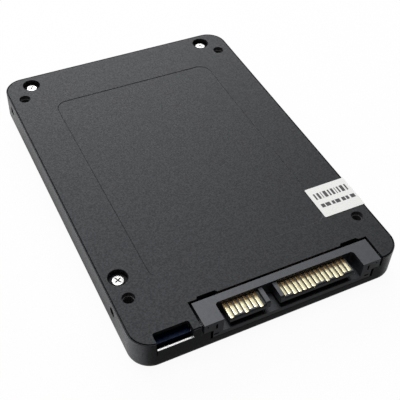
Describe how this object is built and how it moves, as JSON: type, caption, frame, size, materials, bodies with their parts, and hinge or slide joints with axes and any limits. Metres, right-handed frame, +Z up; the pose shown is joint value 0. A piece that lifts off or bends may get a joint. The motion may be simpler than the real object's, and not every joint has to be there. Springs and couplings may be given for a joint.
{
  "type": "solid state drive",
  "caption": "Flat metal-cased 2.5-inch drive with a recessed panel on its screw side, an open SATA plug at one end and threaded mounting holes.",
  "frame": {"origin": "middle of the label side's bounding rectangle, on the surface the drive lies on", "axes": "+X across the width, +Y along the length away from the SATA connector, +Z up from the label side to the screw side"},
  "size_m": [0.0699, 0.1, 0.0096],
  "materials": {
    "case_paint": "fine textured charcoal paint, matte",
    "label": "satin printed film, blank",
    "connector_plastic": "moulded dark grey, satin",
    "gold": "gold plated, polished",
    "tinned_metal": "tinned, satin",
    "screw_steel": "nickel plated, semi-gloss",
    "board": "dark blue solder mask, semi-gloss",
    "package_black": "moulded black epoxy, matte",
    "capacitor_yellow": "moulded yellow epoxy, satin",
    "ceramic": "fired ceramic, satin",
    "ferrite": "pressed ferrite, matte",
    "thermal_pad": "soft silicone, matte"
  },
  "bodies": {
    "drive_body": {"housing": "case_paint", "product_label": "label", "front_left_board_screw": "screw_steel", "front_right_board_screw": "screw_steel", "back_left_board_screw": "screw_steel", "back_right_board_screw": "screw_steel", "sata_connector_housing": "connector_plastic", "signal_contacts": "gold", "power_contacts": "gold", "connector_solder_tabs": "tinned_metal", "circuit_board": "board", "controller_chip": "package_black", "memory_buffer_chip": "package_black", "power_regulator_chip": "package_black", "crystal_oscillator": "tinned_metal", "flash_chip_1": "package_black", "flash_chip_2": "package_black", "flash_chip_3": "package_black", "flash_chip_4": "package_black", "flash_chip_5": "package_black", "flash_chip_6": "package_black", "flash_chip_7": "package_black", "flash_chip_8": "package_black", "power_inductors": "ferrite", "hold_up_capacitors": "capacitor_yellow", "ceramic_capacitors": "ceramic", "chip_resistors": "package_black", "controller_thermal_pad": "thermal_pad", "left_flash_thermal_pad": "thermal_pad", "right_flash_thermal_pad": "thermal_pad"},
    "cover": {"bottom_cover": "case_paint", "warranty_seal": "label", "seal_side_case_screw": "screw_steel"},
    "front_left_screw": {"front_left_case_screw": "screw_steel"},
    "back_left_screw": {"back_left_case_screw": "screw_steel"},
    "back_right_screw": {"back_right_case_screw": "screw_steel"}
  },
  "joints": [
    {"name": "cover_lift", "type": "slide", "parent": "drive_body", "child": "cover", "axis": [0, 0, 1], "range_m": [0, 0.02]},
    {"name": "front_left_screw_out", "type": "slide", "parent": "cover", "child": "front_left_screw", "axis": [0, 0, 1], "range_m": [0, 0.007]},
    {"name": "back_left_screw_out", "type": "slide", "parent": "cover", "child": "back_left_screw", "axis": [0, 0, 1], "range_m": [0, 0.007]},
    {"name": "back_right_screw_out", "type": "slide", "parent": "cover", "child": "back_right_screw", "axis": [0, 0, 1], "range_m": [0, 0.007]}
  ]
}
